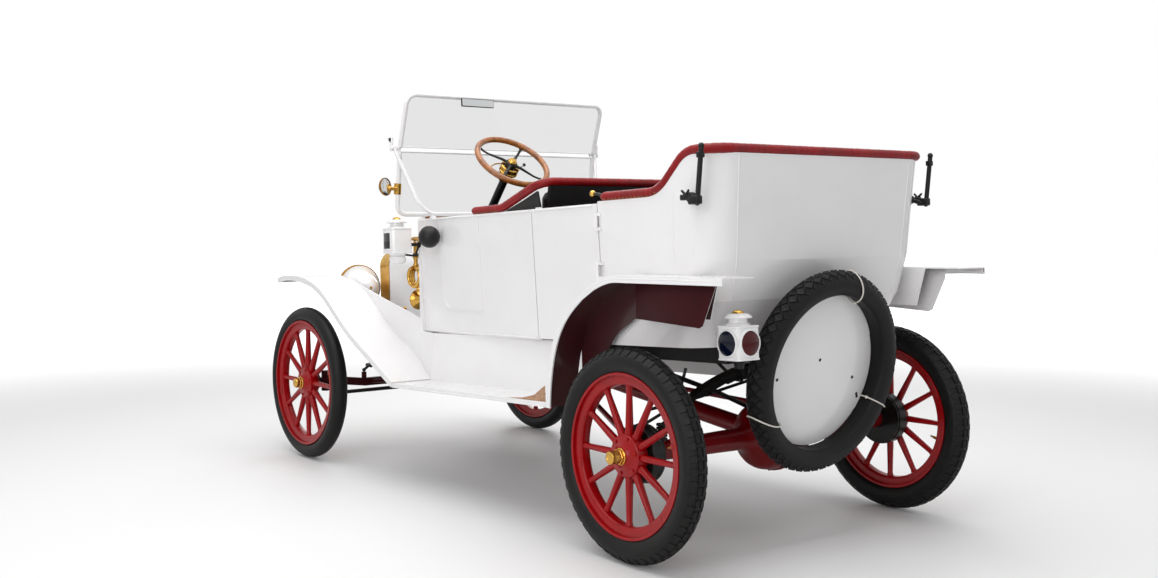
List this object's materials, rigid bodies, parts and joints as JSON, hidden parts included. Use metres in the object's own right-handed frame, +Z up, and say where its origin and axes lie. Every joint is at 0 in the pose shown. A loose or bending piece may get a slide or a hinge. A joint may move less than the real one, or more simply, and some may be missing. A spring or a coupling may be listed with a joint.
{
  "type": "open touring car",
  "caption": "Open touring car of the early brass-lamp years, with wooden spoked wheels, folding windshield, opening doors and hood, and a rear spare tyre.",
  "frame": {"origin": "on the ground under the middle of the car", "axes": "+Z up, the car faces -Y, its left side is at +X"},
  "size_m": [1.61, 3.3788, 1.7978],
  "materials": {
    "tyre": "matte",
    "red_wood": "gloss paint",
    "maroon": "gloss",
    "red_paint": "gloss",
    "black_iron": "satin",
    "cast_iron": "rough",
    "brass": "polished",
    "white_paint": "gloss",
    "varnished_wood": "varnished",
    "black_leather": "worn",
    "red_leather": "satin",
    "glass": "clear",
    "rubber": "matte"
  },
  "bodies": {
    "car": {"spare_tyre": "tyre", "front_axle": "maroon", "rear_axle": "red_paint", "chassis_frame": "black_iron", "front_spring": "black_iron", "rear_spring": "black_iron", "engine": "cast_iron", "radiator": "brass", "dash": "varnished_wood", "front_body": "white_paint", "tub": "white_paint", "floor": "varnished_wood", "front_seat": "black_leather", "rear_seat": "black_leather", "front_roll": "red_leather", "rear_roll": "red_leather", "windshield_lower": "white_paint", "glass_lower": "glass", "steering_column": "brass", "rear_fenders": "white_paint", "front_fenders": "white_paint", "running_boards": "white_paint", "headlamps": "white_paint", "side_lamps": "white_paint", "tail_lamp": "white_paint", "bulb_horn": "brass", "horn_ball": "rubber", "spare_carrier": "white_paint", "top_irons": "black_iron", "side_mirror": "brass"},
    "steering_wheel": {"steering_wheel": "varnished_wood"},
    "pitman": {"pitman_arm": "black_iron"},
    "steer_left": {"knuckle_left": "maroon"},
    "steer_right": {"knuckle_right": "maroon"},
    "tie": {"tie_rod": "black_iron", "drag_link": "black_iron"},
    "wheel_fl": {"wheel_front_left": "red_wood", "tyre_front_left": "tyre"},
    "wheel_fr": {"wheel_front_right": "red_wood", "tyre_front_right": "tyre"},
    "wheel_rl": {"wheel_rear_left": "red_wood", "tyre_rear_left": "tyre"},
    "wheel_rr": {"wheel_rear_right": "red_wood", "tyre_rear_right": "tyre"},
    "hood_left": {"hood_left": "white_paint"},
    "hood_right": {"hood_right": "white_paint"},
    "screen_top": {"windshield_upper": "white_paint", "glass_upper": "glass"},
    "door_rl": {"door_rear_left": "white_paint"},
    "door_rr": {"door_rear_right": "white_paint"},
    "door_fr": {"door_front_right": "white_paint"}
  },
  "joints": [
    {"name": "steering_turn", "type": "hinge", "parent": "car", "child": "steering_wheel", "pos_m": [0.29, -0.08754, 1.46561], "axis": [0, 0.6341, 0.7733], "range_deg": [-132, 132]},
    {"name": "pitman_turn", "type": "hinge", "parent": "car", "child": "pitman", "pos_m": [0.29, -0.81886, 0.57371], "axis": [0, 0.6341, 0.7733], "range_deg": [-33, 33]},
    {"name": "steer_left", "type": "hinge", "parent": "car", "child": "steer_left", "pos_m": [0.618, -1.306, 0.381], "axis": [0, 0, 1], "range_deg": [-33, 33]},
    {"name": "steer_right", "type": "hinge", "parent": "car", "child": "steer_right", "pos_m": [-0.618, -1.306, 0.381], "axis": [0, 0, 1], "range_deg": [-33, 33]},
    {"name": "tie_rod_left_pin", "type": "hinge", "parent": "steer_left", "child": "tie", "pos_m": [0.618, -1.178, 0.321], "axis": [0, 0, 1], "range_deg": [-33, 33]},
    {"name": "front_left_wheel", "type": "hinge", "parent": "steer_left", "child": "wheel_fl", "pos_m": [0.711, -1.306, 0.381], "axis": [1, 0, 0], "continuous": true},
    {"name": "front_right_wheel", "type": "hinge", "parent": "steer_right", "child": "wheel_fr", "pos_m": [-0.711, -1.306, 0.381], "axis": [1, 0, 0], "continuous": true},
    {"name": "rear_left_wheel", "type": "hinge", "parent": "car", "child": "wheel_rl", "pos_m": [0.711, 1.234, 0.381], "axis": [1, 0, 0], "continuous": true},
    {"name": "rear_right_wheel", "type": "hinge", "parent": "car", "child": "wheel_rr", "pos_m": [-0.711, 1.234, 0.381], "axis": [1, 0, 0], "continuous": true},
    {"name": "hood_left_hinge", "type": "hinge", "parent": "car", "child": "hood_left", "pos_m": [0, -0.92643, 1.07989], "axis": [0, -0.9992, -0.041], "range_deg": [0, 60]},
    {"name": "hood_right_hinge", "type": "hinge", "parent": "car", "child": "hood_right", "pos_m": [0, -0.92643, 1.07989], "axis": [0, 0.9992, 0.041], "range_deg": [0, 60]},
    {"name": "windshield_fold", "type": "hinge", "parent": "car", "child": "screen_top", "pos_m": [0, -0.61599, 1.53901], "axis": [1, 0, 0], "range_deg": [0, 150]},
    {"name": "door_rear_left_hinge", "type": "hinge", "parent": "car", "child": "door_rl", "pos_m": [0.56291, 0.86472, 1.13739], "axis": [0, -0.041, 0.9992], "range_deg": [0, 60]},
    {"name": "door_rear_right_hinge", "type": "hinge", "parent": "car", "child": "door_rr", "pos_m": [-0.56291, 0.86472, 1.13739], "axis": [0, 0.041, -0.9992], "range_deg": [0, 60]},
    {"name": "door_front_right_hinge", "type": "hinge", "parent": "car", "child": "door_fr", "pos_m": [-0.48705, -0.40121, 1.08543], "axis": [0, -0.041, 0.9992], "range_deg": [0, 60]}
  ],
  "couplings": [
    {"joint": "pitman_turn", "follows": "steering_turn", "ratio": 0.25},
    {"joint": "steer_left", "follows": "steering_turn", "ratio": 0.25},
    {"joint": "steer_right", "follows": "steering_turn", "ratio": 0.25},
    {"joint": "tie_rod_left_pin", "follows": "steering_turn", "ratio": -0.25}
  ]
}
